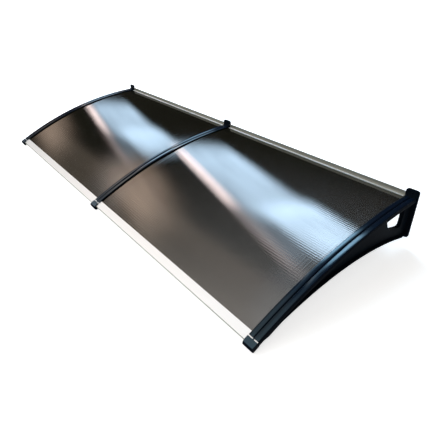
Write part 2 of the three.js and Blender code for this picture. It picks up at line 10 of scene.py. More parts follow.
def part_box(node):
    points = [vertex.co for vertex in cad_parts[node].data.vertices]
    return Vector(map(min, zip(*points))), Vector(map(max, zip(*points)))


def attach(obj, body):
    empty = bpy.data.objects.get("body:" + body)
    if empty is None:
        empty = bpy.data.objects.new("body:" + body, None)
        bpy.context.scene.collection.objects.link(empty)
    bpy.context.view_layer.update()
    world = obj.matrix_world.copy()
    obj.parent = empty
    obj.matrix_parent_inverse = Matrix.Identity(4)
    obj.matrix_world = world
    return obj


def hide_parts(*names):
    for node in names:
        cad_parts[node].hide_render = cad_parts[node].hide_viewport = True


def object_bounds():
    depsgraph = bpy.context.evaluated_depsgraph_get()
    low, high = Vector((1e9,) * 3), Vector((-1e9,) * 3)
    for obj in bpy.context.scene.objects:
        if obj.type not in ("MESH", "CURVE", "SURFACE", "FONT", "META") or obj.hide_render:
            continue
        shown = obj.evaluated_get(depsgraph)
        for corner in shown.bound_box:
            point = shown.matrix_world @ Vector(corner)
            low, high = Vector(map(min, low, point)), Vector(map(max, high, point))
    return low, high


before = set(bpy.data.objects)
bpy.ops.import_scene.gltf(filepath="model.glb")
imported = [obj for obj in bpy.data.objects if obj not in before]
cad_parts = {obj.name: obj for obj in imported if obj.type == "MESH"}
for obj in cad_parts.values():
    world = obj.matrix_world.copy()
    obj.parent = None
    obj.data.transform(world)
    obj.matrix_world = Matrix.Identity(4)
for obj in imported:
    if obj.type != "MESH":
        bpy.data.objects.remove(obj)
cad_low, cad_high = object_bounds()

# The brackets
# Three hollow mouldings in black glass-filled nylon, each with its wall plate, arched web and window.
# They come out of the tool with softened edges and a fine spark-eroded grain, and are screwed to the wall.
SIDES = ("left", "middle", "right")
BRACKET_EDGE = 0.0009
SHARP_ANGLE = math.radians(35)
FLAT_ANGLE = math.radians(0.4)
MERGE_GAP = 1e-6
SHORTEST_EASED = 1.5


def linear(hex_colour):
    """Turns an sRGB hex value into linear red, green, blue and a full alpha."""
    code = np.array([int(hex_colour[i:i + 2], 16) for i in (1, 3, 5)]) / 255
    light = np.where(code <= 0.04045, code / 12.92, ((code + 0.055) / 1.055) ** 2.4)
    return (*light, 1.0)


def add(tree, kind, inputs=None, **settings):
    """Adds one node with its settings; an input is a value, or a socket that is linked to it."""
    node = tree.nodes.new(kind)
    for key, value in settings.items():
        setattr(node, key, value)
    for key, value in (inputs or {}).items():
        if isinstance(value, bpy.types.NodeSocket):
            tree.links.new(value, node.inputs[key])
        else:
            node.inputs[key].default_value = value
    return node


def new_material(name):
    """An empty material and its node tree."""
    finish = bpy.data.materials.new(name)
    finish.use_nodes = True
    finish.node_tree.nodes.clear()
    return finish, finish.node_tree


def moulded_nylon():
    """Glass-filled nylon from a spark-eroded tool: near black, satin, with a grain about 1 mm across.

    The real grain is finer; it is drawn this coarse so that it still breaks up the highlights.
    """
    grain_size, cloud_size = 0.0011, 0.09
    finish, tree = new_material("moulded_black_nylon")
    place = add(tree, "ShaderNodeTexCoord").outputs["Object"]
    grain = add(tree, "ShaderNodeTexNoise", {"Vector": place, "Scale": 1 / grain_size, "Detail": 2.0})
    cloud = add(tree, "ShaderNodeTexNoise", {"Vector": place, "Scale": 1 / cloud_size, "Detail": 3.0})
    colour = add(tree, "ShaderNodeMix", {"Factor": cloud.outputs["Fac"], "A": linear("#080d13"),
                                         "B": linear("#0d141c")}, data_type="RGBA")
    gloss = add(tree, "ShaderNodeMapRange", {"Value": cloud.outputs["Fac"], "To Min": 0.36, "To Max": 0.5})
    bump = add(tree, "ShaderNodeBump", {"Height": grain.outputs["Fac"], "Strength": 0.25, "Distance": 0.0002})
    shader = add(tree, "ShaderNodeBsdfPrincipled", {
        "Base Color": colour.outputs["Result"], "Roughness": gloss.outputs["Result"], "IOR": 1.53,
        "Specular IOR Level": 0.005, "Normal": bump.outputs["Normal"]})
    add(tree, "ShaderNodeOutputMaterial", {"Surface": shader.outputs["BSDF"]})
    return finish


def settled(name, mesh, finishes, slot, *nodes):
    """Puts a finished mesh into the scene as a piece that stands for the given nodes."""
    for finish in finishes:
        mesh.materials.append(finish)
    mesh.shade_smooth()
    mesh.set_sharp_from_angle(angle=SHARP_ANGLE)
    piece = bpy.data.objects.new(name, mesh)
    bpy.context.scene.collection.objects.link(piece)
    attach(piece, "root")
    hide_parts(*nodes)
    return piece


def eased_copy(name, node, edge, finish, slot):
    """Copies a solid's mesh, joins its loose triangles into flat faces and rounds its sharp edges.

    Edges shorter than SHORTEST_EASED roundings stay sharp, and large faces keep their own normals.
    """
    shape = bmesh.new()
    shape.from_mesh(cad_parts[node].data)
    bmesh.ops.remove_doubles(shape, verts=shape.verts, dist=MERGE_GAP)
    bmesh.ops.dissolve_limit(shape, angle_limit=FLAT_ANGLE, verts=shape.verts, edges=shape.edges)
    sharp = [e for e in shape.edges if len(e.link_faces) == 2 and e.calc_face_angle() > SHARP_ANGLE
             and e.calc_length() > SHORTEST_EASED * edge]
    bmesh.ops.bevel(shape, geom=sharp, offset=edge, offset_type="OFFSET", segments=2, profile=0.5,
                    affect="EDGES", clamp_overlap=True)
    mesh = bpy.data.meshes.new(name)
    shape.to_mesh(mesh)
    shape.free()
    piece = settled(name, mesh, [finish], slot, node)
    piece.modifiers.new("even_normals", "WEIGHTED_NORMAL").keep_sharp = True
    return piece


nylon = moulded_nylon()
for side in SIDES:
    eased_copy(f"moulded_bracket_{side}", f"bracket_{side}", BRACKET_EDGE, nylon, "black_moulding")

# The sheets
# Two bronze twin-wall polycarbonate sheets, extruded with flutes that run from the wall to the front.
# They are bent cold over the brackets' flanges and clamped along both sides by the cover strips.
# Values named S are lengths along the arch from the wall, and those named V heights over the sheets' top.
BAYS = ("left", "right")
ARCH_RADIUS = 2.0
SHEET_TOP_Z = 0.073
SHEET_THICKNESS = 0.005
SHEET_REAR_S = 0.0105
FLUTE_PITCH = 0.0086
SKIN = 0.0005
RIB = 0.00045
FLUTE_SAG = 0.00009
SHEET_STATIONS = 29
TOP_SKIN, UNDERSIDE, FLUTES = range(3)


def on_arch(x, s, v):
    """The point at length s along the arch and height v over the sheet.

    It lies R + v from the arch's centre, turned from the upright by s / R towards the front.
    """
    x, s, v = np.broadcast_arrays(x, s, v)
    y = -(ARCH_RADIUS + v) * np.sin(s / ARCH_RADIUS)
    z = SHEET_TOP_Z - ARCH_RADIUS + (ARCH_RADIUS + v) * np.cos(s / ARCH_RADIUS)
    return np.stack([x, y, z], axis=-1)


def quads(a, b, c, d):
    """Four equal arrays of vertex numbers as rows of quads."""
    return np.stack([np.ravel(k) for k in (a, b, c, d)], axis=-1)


def mesh_from(name, points, *faces):
    """A mesh from an array of points and arrays of vertex numbers, without the points that no face uses."""
    used = np.unique(np.concatenate([face.ravel() for face in faces]))
    renumbered = np.zeros(points.size // 3, int)
    renumbered[used] = np.arange(len(used))
    corners = [row for face in faces for row in renumbered[face].tolist()]
    mesh = bpy.data.meshes.new(name)
    mesh.from_pydata(points.reshape(-1, 3)[used].tolist(), [], corners)
    return mesh


def twin_wall(name, x0, x1, s0, s1):
    """A twin-wall sheet as a lattice of x lines, four heights and stations along the arch.

    Across the sheet each pitch has one rib and two half flutes. The cells of both skins and of the ribs
    are solid, and a face is drawn wherever a solid cell meets an empty one. In the middle of each flute
    both skins are drawn in by a small sag, which is what makes the flutes show in a reflection.
    """
    count = round((x1 - x0) / FLUTE_PITCH)
    pitch = (x1 - x0 - RIB) / count
    start = x0 + pitch * np.arange(count)[:, None]
    lines = (start + np.array([0.0, RIB, (RIB + pitch) / 2])).ravel()
    lines = np.concatenate([lines, [x1 - RIB, x1]])
    is_middle = np.zeros(len(lines))
    is_middle[2:-2:3] = 1.0
    heights = np.array([-SHEET_THICKNESS, SKIN - SHEET_THICKNESS, -SKIN, 0.0])
    draw = np.array([1.0, 1.0, -1.0, -1.0]) * FLUTE_SAG
    stations = np.linspace(s0, s1, SHEET_STATIONS)
    v = heights[:, None] + draw[:, None] * is_middle[None, :]
    points = on_arch(lines[None, None, :], stations[:, None, None], v[None, :, :])
    number = np.arange(points[..., 0].size).reshape(points.shape[:3])
    columns = len(lines) - 1
    is_rib = np.arange(columns) % 3 == 0
    solid = np.stack([np.ones(columns, bool), is_rib, np.ones(columns, bool)])
    padded = np.pad(solid, 1)
    groups, finishes = [], []

    def face(a, b, c, d, finish):
        groups.append(quads(a, b, c, d))
        finishes.append(np.full(len(groups[-1]), finish))

    here, ahead = number[:-1], number[1:]
    for row, skin in enumerate((UNDERSIDE, FLUTES, FLUTES, TOP_SKIN)):
        below, above = padded[row, 1:-1], padded[row + 1, 1:-1]
        up, down = np.flatnonzero(below & ~above), np.flatnonzero(above & ~below)
        face(here[:, row, up], ahead[:, row, up], ahead[:, row, up + 1], here[:, row, up + 1], skin)
        face(here[:, row, down], here[:, row, down + 1], ahead[:, row, down + 1], ahead[:, row, down], skin)
    for row in range(3):
        left, right = padded[row + 1, :-1], padded[row + 1, 1:]
        to_right, to_left = np.flatnonzero(left & ~right), np.flatnonzero(right & ~left)
        face(here[:, row, to_right], here[:, row + 1, to_right], ahead[:, row + 1, to_right],
             ahead[:, row, to_right], FLUTES)
        face(here[:, row, to_left], ahead[:, row, to_left], ahead[:, row + 1, to_left],
             here[:, row + 1, to_left], FLUTES)
        cell = np.flatnonzero(solid[row])
        rear, front = number[0], number[-1]
        face(rear[row, cell], rear[row + 1, cell], rear[row + 1, cell + 1], rear[row, cell + 1], FLUTES)
        face(front[row, cell], front[row, cell + 1], front[row + 1, cell + 1], front[row + 1, cell], FLUTES)
    mesh = mesh_from(name, points, np.concatenate(groups))
    mesh.polygons.foreach_set("material_index", np.concatenate(finishes).astype(np.int32))
    return mesh


def bronze_polycarbonate(name, straight, grazing, roughness):
    """Bronze-tinted polycarbonate, co-extruded with a gloss skin: a clear brown that shows what lies behind.

    A slanting ray goes a longer way through the dyed skin, so opacity rises from straight to grazing.
    Faint ripples, across the sheet from the haul-off rollers and along it over the flutes, and a slow
    clouding of the tint break up its reflections. The ripples over the flutes are drawn a little wider
    than the flutes so that they show.
    """
    ripple_pitch, ripple_depth, cloud_size, full_slant = {"X": 0.014, "Y": 0.0095}, 0.00003, 0.35, 0.66
    smoothest, roughest = 0.8 * roughness, 1.25 * roughness
    finish, tree = new_material(name)
    place = add(tree, "ShaderNodeTexCoord").outputs["Object"]
    axes = add(tree, "ShaderNodeSeparateXYZ", {0: place}).outputs
    waves = []
    for axis, pitch in ripple_pitch.items():
        turns = add(tree, "ShaderNodeMath", {0: axes[axis], 1: 2 * math.pi / pitch}, operation="MULTIPLY")
        waves.append(add(tree, "ShaderNodeMath", {0: turns.outputs[0]}, operation="SINE").outputs[0])
    both = add(tree, "ShaderNodeMath", {0: waves[0], 1: waves[1]}, operation="ADD")
    height = add(tree, "ShaderNodeMath", {0: both.outputs[0], 1: ripple_depth}, operation="MULTIPLY")
    bump = add(tree, "ShaderNodeBump", {"Height": height.outputs[0], "Strength": 1.0, "Distance": 1.0})
    cloud = add(tree, "ShaderNodeTexNoise", {"Vector": place, "Scale": 1 / cloud_size, "Detail": 3.0})
    colour = add(tree, "ShaderNodeMix", {"Factor": cloud.outputs["Fac"], "A": linear("#0f0e08"),
                                         "B": linear("#17150c")}, data_type="RGBA")
    gloss = add(tree, "ShaderNodeMapRange", {"Value": cloud.outputs["Fac"], "To Min": smoothest,
                                             "To Max": roughest})
    slant = add(tree, "ShaderNodeLayerWeight", {"Blend": 0.5}).outputs["Facing"]
    opacity = add(tree, "ShaderNodeMapRange", {"Value": slant, "From Max": full_slant, "To Min": straight,
                                               "To Max": grazing})
    shader = add(tree, "ShaderNodeBsdfPrincipled", {
        "Base Color": colour.outputs["Result"], "Roughness": gloss.outputs["Result"], "IOR": 1.58,
        "Specular IOR Level": 1.0, "Alpha": opacity.outputs["Result"], "Normal": bump.outputs["Normal"]})
    add(tree, "ShaderNodeOutputMaterial", {"Surface": shader.outputs["BSDF"]})
    return finish


# Opacity seen straight on, opacity seen at a slant, and roughness, in the order of the finishes' numbers.
SHEET_LOOKS = {"top": (0.535, 1.0, 0.05), "underside": (0.5, 1.0, 0.12), "flutes": (0.03, 0.12, 0.15)}
sheet_finishes = [bronze_polycarbonate(f"bronze_polycarbonate_{part}", *look)
                  for part, look in SHEET_LOOKS.items()]
for bay in BAYS:
    low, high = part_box(f"sheet_{bay}")
    sheet_front_s = ARCH_RADIUS * math.asin(-low.y / ARCH_RADIUS)
    walls = twin_wall(f"twin_wall_sheet_{bay}", low.x, high.x, SHEET_REAR_S, sheet_front_s)
    settled(f"twin_wall_sheet_{bay}", walls, sheet_finishes, "bronze_sheet", f"sheet_{bay}")

# The bars
# Aluminium extrusions: slotted front bars with a hollow nose, and rear bars with an upright flange along
# the wall, cut to length and screwed on from below. They are pale on top, and every other face is a
# darker grey of painted shade.
BAR_EDGE = 0.0004
UPWARD = 0.85


def satin_aluminium(name, dark, pale):
    """Extruded aluminium between two given colours: soft gloss, die lines along the bar.

    Die lines are a few hundredths of a millimetre apart; they are drawn 1 mm apart so that they show.
    """
    line_gap, line_length, cloud_size = 0.001, 0.4, 0.25
    finish, tree = new_material(name)
    place = add(tree, "ShaderNodeTexCoord").outputs["Object"]
    drawn = add(tree, "ShaderNodeMapping", {"Vector": place,
                                            "Scale": (1 / line_length, 1 / line_gap, 1 / line_gap)})
    line = add(tree, "ShaderNodeTexNoise", {"Vector": drawn.outputs["Vector"], "Scale": 1.0, "Detail": 2.0})
    cloud = add(tree, "ShaderNodeTexNoise", {"Vector": place, "Scale": 1 / cloud_size, "Detail": 2.0})
    colour = add(tree, "ShaderNodeMix", {"Factor": line.outputs["Fac"], "A": linear(dark),
                                         "B": linear(pale)}, data_type="RGBA")
    gloss = add(tree, "ShaderNodeMapRange", {"Value": cloud.outputs["Fac"], "To Min": 0.4, "To Max": 0.5})
    bump = add(tree, "ShaderNodeBump", {"Height": line.outputs["Fac"], "Strength": 0.3, "Distance": 0.0001})
    shader = add(tree, "ShaderNodeBsdfPrincipled", {
        "Base Color": colour.outputs["Result"], "Roughness": gloss.outputs["Result"], "Metallic": 1.0,
        "Normal": bump.outputs["Normal"]})
    add(tree, "ShaderNodeOutputMaterial", {"Surface": shader.outputs["BSDF"]})
    return finish


def painted_shade_where_not_up(mesh, second):
    """Gives a second finish, of painted shade, to every face whose normal rises by less than UPWARD."""
    mesh.materials.append(second)
    looks = np.empty(3 * len(mesh.polygons), np.float32)
    mesh.polygons.foreach_get("normal", looks)
    mesh.polygons.foreach_set("material_index", (looks[2::3] < UPWARD).astype(np.int32))


bright_bar = satin_aluminium("bright_anodised_aluminium", "#e9e9e7", "#f6f6f5")
# Painted shade: the same aluminium in a darker grey, for every face that does not face up.
painted_shade_bar = satin_aluminium("aluminium_painted_shade", "#8c8e86", "#9d9f96")
for bay in BAYS:
    for end in ("front", "rear"):
        bar = eased_copy(f"aluminium_{end}_bar_{bay}", f"{end}_bar_{bay}", BAR_EDGE, bright_bar,
                         "aluminium_bar")
        # Faces that do not face up get the darker grey of painted shade.
        painted_shade_where_not_up(bar.data, painted_shade_bar)

# The wall seals
# Two lengths of finned rubber, extruded in black, stuck on the rear bars' flanges.
# Their fins press against the wall and keep water from running down behind the canopy.
SEAL_EDGE = 0.0003


def finned_rubber():
    """Extruded rubber: black, dull, with a dusty bloom in patches."""
    bloom_size = 0.05
    finish, tree = new_material("black_finned_rubber")
    place = add(tree, "ShaderNodeTexCoord").outputs["Object"]
    bloom = add(tree, "ShaderNodeTexNoise", {"Vector": place, "Scale": 1 / bloom_size, "Detail": 4.0})
    colour = add(tree, "ShaderNodeMix", {"Factor": bloom.outputs["Fac"], "A": linear("#121212"),
                                         "B": linear("#242424")}, data_type="RGBA")
    gloss = add(tree, "ShaderNodeMapRange", {"Value": bloom.outputs["Fac"], "To Min": 0.65, "To Max": 0.85})
    shader = add(tree, "ShaderNodeBsdfPrincipled", {
        "Base Color": colour.outputs["Result"], "Roughness": gloss.outputs["Result"], "IOR": 1.52})
    add(tree, "ShaderNodeOutputMaterial", {"Surface": shader.outputs["BSDF"]})
    return finish


rubber = finned_rubber()
for bay in BAYS:
    eased_copy(f"finned_seal_{bay}", f"wall_seal_{bay}", SEAL_EDGE, rubber, "wall_rubber")

# The cover strips and front caps
# Plastic strips, extruded with a V-groove along the top, are bent over the sheets' edges on each bracket.
# Moulded caps clip round the bars' noses in front of them. Both are black with a half-gloss skin on top;
# the faces that do not face up get a darker matt copy, painted shade with almost no reflection.
STRIP_HALF = 0.0225
STRIP_TOP_V = 0.007
STRIP_CHAMFER = 0.0012
STRIP_REAR_S = 0.0225
STRIP_STEP = 0.012
STRIP_EDGE = 0.0005
GROOVE_HALF = 0.003
GROOVE_FLOOR_HALF = 0.0008
GROOVE_FLOOR_V = 0.0032
SPINE_HALF = 0.005
SCREW_PORT_HALF = 0.0023
SCREW_PORT_TOP_V = 0.0016
TONGUE_HALF = 0.0025
CAP_GAP = 0.0045
CAP_EDGE = 0.002
BAR_BOTTOM_V = -0.0071
OVER_BAR_V = 0.0024
CLEARANCE = 0.0003


def half_gloss_plastic():
    """Extruded black plastic, slightly blue, with flow lines along the strip and a soft skin gloss.

    The flow lines are drawn 2 mm apart, a few times coarser than the real ones, so that they show.
    Its reflections are tinted pale blue: a painted cast of cool light.
    """
    line_gap, line_length, cloud_size = 0.002, 0.15, 0.06
    finish, tree = new_material("half_gloss_black_plastic")
    place = add(tree, "ShaderNodeTexCoord").outputs["Object"]
    drawn = add(tree, "ShaderNodeMapping", {"Vector": place,
                                            "Scale": (1 / line_gap, 1 / line_length, 1 / line_length)})
    line = add(tree, "ShaderNodeTexNoise", {"Vector": drawn.outputs["Vector"], "Scale": 1.0, "Detail": 2.0})
    cloud = add(tree, "ShaderNodeTexNoise", {"Vector": place, "Scale": 1 / cloud_size, "Detail": 3.0})
    colour = add(tree, "ShaderNodeMix", {"Factor": line.outputs["Fac"], "A": linear("#08101a"),
                                         "B": linear("#0f1c2f")}, data_type="RGBA")
    gloss = add(tree, "ShaderNodeMapRange", {"Value": cloud.outputs["Fac"], "To Min": 0.1, "To Max": 0.16})
    bump = add(tree, "ShaderNodeBump", {"Height": line.outputs["Fac"], "Strength": 0.2, "Distance": 0.0001})
    # The pale blue specular tint is a painted cast of cool light on the reflections.
    shader = add(tree, "ShaderNodeBsdfPrincipled", {
        "Base Color": colour.outputs["Result"], "Roughness": gloss.outputs["Result"], "IOR": 1.54,
        "Specular IOR Level": 0.42, "Specular Tint": linear("#c4f1ff"), "Normal": bump.outputs["Normal"]})
    add(tree, "ShaderNodeOutputMaterial", {"Surface": shader.outputs["BSDF"]})
    return finish


def matt_plastic_painted_shade():
    """The same plastic, matt, darker and barely reflecting: painted shade on sides, groove and underside."""
    cloud_size = 0.03
    finish, tree = new_material("matt_black_plastic_painted_shade")
    place = add(tree, "ShaderNodeTexCoord").outputs["Object"]
    cloud = add(tree, "ShaderNodeTexNoise", {"Vector": place, "Scale": 1 / cloud_size, "Detail": 3.0})
    colour = add(tree, "ShaderNodeMix", {"Factor": cloud.outputs["Fac"], "A": linear("#070c14"),
                                         "B": linear("#0c131d")}, data_type="RGBA")
    gloss = add(tree, "ShaderNodeMapRange", {"Value": cloud.outputs["Fac"], "To Min": 0.45, "To Max": 0.6})
    shader = add(tree, "ShaderNodeBsdfPrincipled", {
        "Base Color": colour.outputs["Result"], "Roughness": gloss.outputs["Result"], "IOR": 1.54,
        "Specular IOR Level": 0.01})
    add(tree, "ShaderNodeOutputMaterial", {"Surface": shader.outputs["BSDF"]})
    return finish


def eased_section(corners, radius):
    """A closed outline whose corners become short quadratic curves that start and end a radius away."""
    corners = np.array(corners)

    def towards(other):
        edge = other - corners
        length = np.linalg.norm(edge, axis=1, keepdims=True)
        return corners + edge / length * np.minimum(radius, length / 3)

    start, end = towards(np.roll(corners, 1, axis=0)), towards(np.roll(corners, -1, axis=0))
    return np.stack([start, (start + 2 * corners + end) / 4, end], axis=1).reshape(-1, 2)


def carried(name, x, *runs):
    """Sections (x, v), drawn anticlockwise, each carried along the arch from one length to another.

    Every run is closed at both ends by its own section.
    """
    all_points, faces, count = [], [], 0
    for section, s0, s1 in runs:
        stations = np.linspace(s0, s1, max(2, math.ceil((s1 - s0) / STRIP_STEP)))
        points = on_arch(x + section[None, :, 0], stations[:, None], section[None, :, 1])
        number = count + np.arange(points[..., 0].size).reshape(points.shape[:2])
        beside = np.roll(number, -1, axis=1)
        faces.append(quads(number[:-1], beside[:-1], beside[1:], number[1:]))
        faces.append(np.stack([number[0, ::-1], number[-1]]))
        all_points.append(points.reshape(-1, 3))
        count += number.size
    return mesh_from(name, np.concatenate(all_points), *faces)


def grooved_section(bottom):
    """The strip's section: the given underside from left to right, then the chamfers, flats and groove."""
    half = np.array([[STRIP_HALF, STRIP_TOP_V - STRIP_CHAMFER], [STRIP_HALF - STRIP_CHAMFER, STRIP_TOP_V],
                     [GROOVE_HALF, STRIP_TOP_V], [GROOVE_FLOOR_HALF, GROOVE_FLOOR_V]])
    return eased_section(np.concatenate([bottom, half, half[::-1] * (-1, 1)]), STRIP_EDGE)


glossy_plastic = half_gloss_plastic()
# Painted shade: a darker, barely reflecting matt copy for the faces that do not face up.
matt_shaded_plastic = matt_plastic_painted_shade()
port = np.array([[STRIP_HALF, CLEARANCE], [SPINE_HALF, CLEARANCE], [SPINE_HALF, -SHEET_THICKNESS],
                 [SCREW_PORT_HALF, -SHEET_THICKNESS], [SCREW_PORT_HALF, SCREW_PORT_TOP_V]])
over_sheets = grooved_section(np.concatenate([port * (-1, 1), port[::-1]]))
over_bar = grooved_section([[-STRIP_HALF, OVER_BAR_V], [STRIP_HALF, OVER_BAR_V]])
tongue = np.array([[-TONGUE_HALF, OVER_BAR_V], [TONGUE_HALF, OVER_BAR_V], [TONGUE_HALF, GROOVE_FLOOR_V],
                   [-TONGUE_HALF, GROOVE_FLOOR_V]])
bar_rear_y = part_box("front_bar_right")[1].y
bar_rear_s = ARCH_RADIUS * math.asin(-bar_rear_y / (ARCH_RADIUS + BAR_BOTTOM_V))
for side in SIDES:
    low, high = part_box(f"cover_strip_{side}")
    tongue_front_s = ARCH_RADIUS * math.asin(-low.y / (ARCH_RADIUS + GROOVE_FLOOR_V))
    strip_front_s = tongue_front_s + CLEARANCE - CAP_GAP
    strip = carried(f"grooved_strip_{side}", (low.x + high.x) / 2,
                    (over_sheets, STRIP_REAR_S, bar_rear_s - 2 * CLEARANCE),
                    (over_bar, bar_rear_s - 2 * CLEARANCE, strip_front_s),
                    (tongue, strip_front_s, tongue_front_s))
    settled(f"grooved_strip_{side}", strip, [glossy_plastic], "black_strip", f"cover_strip_{side}")
    # The strip's faces that do not face up take the matt copy of painted shade.
    painted_shade_where_not_up(strip, matt_shaded_plastic)
    cap = eased_copy(f"clip_cap_{side}", f"front_cap_{side}", CAP_EDGE, glossy_plastic, "black_strip")
    # The cap's faces that do not face up take the matt copy of painted shade.
    painted_shade_where_not_up(cap.data, matt_shaded_plastic)

# The screws
# Zinc-plated pan-head screws with a cross recess, driven up from below into strips, caps and bars.
# Their threads are rolled into the shank, which ends in a blunt cone.
SCREW_AROUND = 32
FACE_RINGS = 18
DOME_RINGS = 6
RINGS_PER_TURN = 6
THREAD_DEPTH = 0.0003
THREAD_PITCH = 0.0013
RECESS_DEPTH = 0.4
RECESS_ARM = 0.16
RECESS_REACH = 0.62
HEAD_CROWN = 0.8


def zinc_plate():
    """Bright zinc plate on steel: pale grey with a cloudy, slightly blue lustre."""
    cloud_size = 0.004
    finish, tree = new_material("bright_zinc_plate")
    place = add(tree, "ShaderNodeTexCoord").outputs["Object"]
    cloud = add(tree, "ShaderNodeTexNoise", {"Vector": place, "Scale": 1 / cloud_size, "Detail": 3.0})
    colour = add(tree, "ShaderNodeMix", {"Factor": cloud.outputs["Fac"], "A": linear("#a7abb0"),
                                         "B": linear("#c9ccd0")}, data_type="RGBA")
    gloss = add(tree, "ShaderNodeMapRange", {"Value": cloud.outputs["Fac"], "To Min": 0.25, "To Max": 0.42})
    shader = add(tree, "ShaderNodeBsdfPrincipled", {
        "Base Color": colour.outputs["Result"], "Roughness": gloss.outputs["Result"], "Metallic": 1.0})
    add(tree, "ShaderNodeOutputMaterial", {"Surface": shader.outputs["BSDF"]})
    return finish


def pan_head_screw(name, x, s, head_v, top_v, head_radius, head_height, shank_radius):
    """A screw as one grid of rings round its axis, from the middle of the head to the tip of the shank.

    On the head's face the rings sink by the recess where a point lies on either arm of a cross. Along the
    shank the radius falls by a triangle wave of height over thread pitch minus the turn round the axis.
    """
    seat_v = head_v + head_height
    face = np.linspace(0, HEAD_CROWN, FACE_RINGS) * head_radius
    dome = np.linspace(0, math.pi / 2, DOME_RINGS)[1:]
    rim = head_radius * (HEAD_CROWN + (1 - HEAD_CROWN) * np.sin(dome))
    rim_v = head_v + head_height / 2 * (1 - np.cos(dome))
    thread_rings = round((top_v - seat_v) / THREAD_PITCH * RINGS_PER_TURN)
    thread_v = np.linspace(seat_v, top_v - shank_radius, thread_rings)
    radius = np.concatenate([face, rim, [head_radius], np.full(len(thread_v), shank_radius), [0.0]])
    height = np.concatenate([np.full(len(face), head_v), rim_v, [seat_v], thread_v, [top_v]])
    turn = np.linspace(0, 2 * math.pi, SCREW_AROUND, endpoint=False)
    ring_radius = np.repeat(radius[:, None], SCREW_AROUND, axis=1)
    ring_height = np.repeat(height[:, None], SCREW_AROUND, axis=1)
    first = len(face) + len(rim) + 1
    shank = slice(first, first + len(thread_v))
    phase = (ring_height[shank] / THREAD_PITCH - turn / (2 * math.pi)) % 1
    ring_radius[shank] -= THREAD_DEPTH * np.abs(2 * phase - 1)
    across_x, across_y = ring_radius * np.cos(turn), ring_radius * np.sin(turn)
    on_arm = np.minimum(np.abs(across_x), np.abs(across_y)) < RECESS_ARM * head_radius
    in_recess = on_arm & (ring_radius < RECESS_REACH * head_radius)
    in_recess[len(face):] = False
    ring_height = ring_height + in_recess * RECESS_DEPTH * head_height
    points = on_arch(x + across_x, s + across_y, ring_height)
    number = np.arange(ring_radius.size).reshape(ring_radius.shape)
    beside = np.roll(number, -1, axis=1)
    sides = quads(number[1:-2], number[2:-1], beside[2:-1], beside[1:-2])
    middle = np.stack([np.full(SCREW_AROUND, number[0, 0]), number[1], beside[1]], axis=-1)
    tip = np.stack([np.full(SCREW_AROUND, number[-1, 0]), beside[-2], number[-2]], axis=-1)
    return mesh_from(name, points, sides, middle, tip)


STRIP_SCREW = {"head_radius": 0.004, "head_height": 0.0026, "shank_radius": 0.0018}
CAP_SCREW = {"head_radius": 0.0032, "head_height": 0.002, "shank_radius": 0.0015}
BAR_SCREW = {"head_radius": 0.0034, "head_height": 0.0022, "shank_radius": 0.0017}
# How the nodes' names begin, the screw's sizes, and the heights of the head's seat and of the tip.
SCREW_ROWS = [
    ("strip_screw", STRIP_SCREW, -0.0116, 0.001),
    ("cap_screw", CAP_SCREW, -0.016, -0.0077),
    ("front_bar_screw", BAR_SCREW, -0.0124, -0.0053),
    ("rear_bar_screw", BAR_SCREW, -0.0134, -0.0053),
]
zinc = zinc_plate()
arch_centre_z = SHEET_TOP_Z - ARCH_RADIUS
for kind, sizes, seat_v, top_v in SCREW_ROWS:
    head_v = seat_v - CLEARANCE - sizes["head_height"]
    for node in sorted(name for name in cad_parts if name.startswith(kind)):
        low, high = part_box(node)
        middle = (low + high) / 2
        screw_s = ARCH_RADIUS * math.atan2(-middle.y, middle.z - arch_centre_z)
        shape = pan_head_screw(f"threaded_{node}", middle.x, screw_s, head_v, top_v, **sizes)
        settled(f"threaded_{node}", shape, [zinc], "zinc_screw", node)

# The floor
# A wide pale studio floor just under the canopy, which takes its soft shadow. Rays from the camera, and
# those that gloss or clear plastic passes on, see it a little brighter, as white. It is clear from below.
FLOOR_GAP = 0.003
FLOOR_HALF = 80.0
NEAR_LIFT, FAR_LIFT = 0.66, 0.85
NEAR_REACH, FAR_REACH = 1.2, 4.0


def studio_floor():
    """Matt pale floor with a faint unevenness, lifted towards white for the rays that show it.

    The lift grows with the distance from the canopy, where less of the lamps' light arrives.
    """
    cloud_size = 2.0
    finish, tree = new_material("pale_studio_floor")
    place = add(tree, "ShaderNodeTexCoord").outputs["Object"]
    cloud = add(tree, "ShaderNodeTexNoise", {"Vector": place, "Scale": 1 / cloud_size, "Detail": 2.0})
    colour = add(tree, "ShaderNodeMix", {"Factor": cloud.outputs["Fac"], "A": linear("#f1f1f0"),
                                         "B": linear("#f4f4f3")}, data_type="RGBA")
    ray = add(tree, "ShaderNodeLightPath").outputs
    shown = ray["Is Camera Ray"]
    for kind in ("Is Glossy Ray", "Is Transmission Ray"):
        shown = add(tree, "ShaderNodeMath", {0: shown, 1: ray[kind]}, operation="MAXIMUM").outputs[0]
    away = add(tree, "ShaderNodeVectorMath", {0: place}, operation="LENGTH")
    level = add(tree, "ShaderNodeMapRange", {
        "Value": away.outputs["Value"], "From Min": NEAR_REACH, "From Max": FAR_REACH, "To Min": NEAR_LIFT,
        "To Max": FAR_LIFT}, interpolation_type="SMOOTHSTEP")
    lift = add(tree, "ShaderNodeMath", {0: shown, 1: level.outputs["Result"]}, operation="MULTIPLY")
    shader = add(tree, "ShaderNodeBsdfPrincipled", {
        "Base Color": colour.outputs["Result"], "Roughness": 0.9, "Specular IOR Level": 0.0,
        "Emission Color": linear("#ffffff"), "Emission Strength": lift.outputs[0]})
    below = add(tree, "ShaderNodeNewGeometry").outputs["Backfacing"]
    clear = add(tree, "ShaderNodeBsdfTransparent")
    sided = add(tree, "ShaderNodeMixShader", {0: below, 1: shader.outputs["BSDF"], 2: clear.outputs["BSDF"]})
    add(tree, "ShaderNodeOutputMaterial", {"Surface": sided.outputs["Shader"]})
    return finish


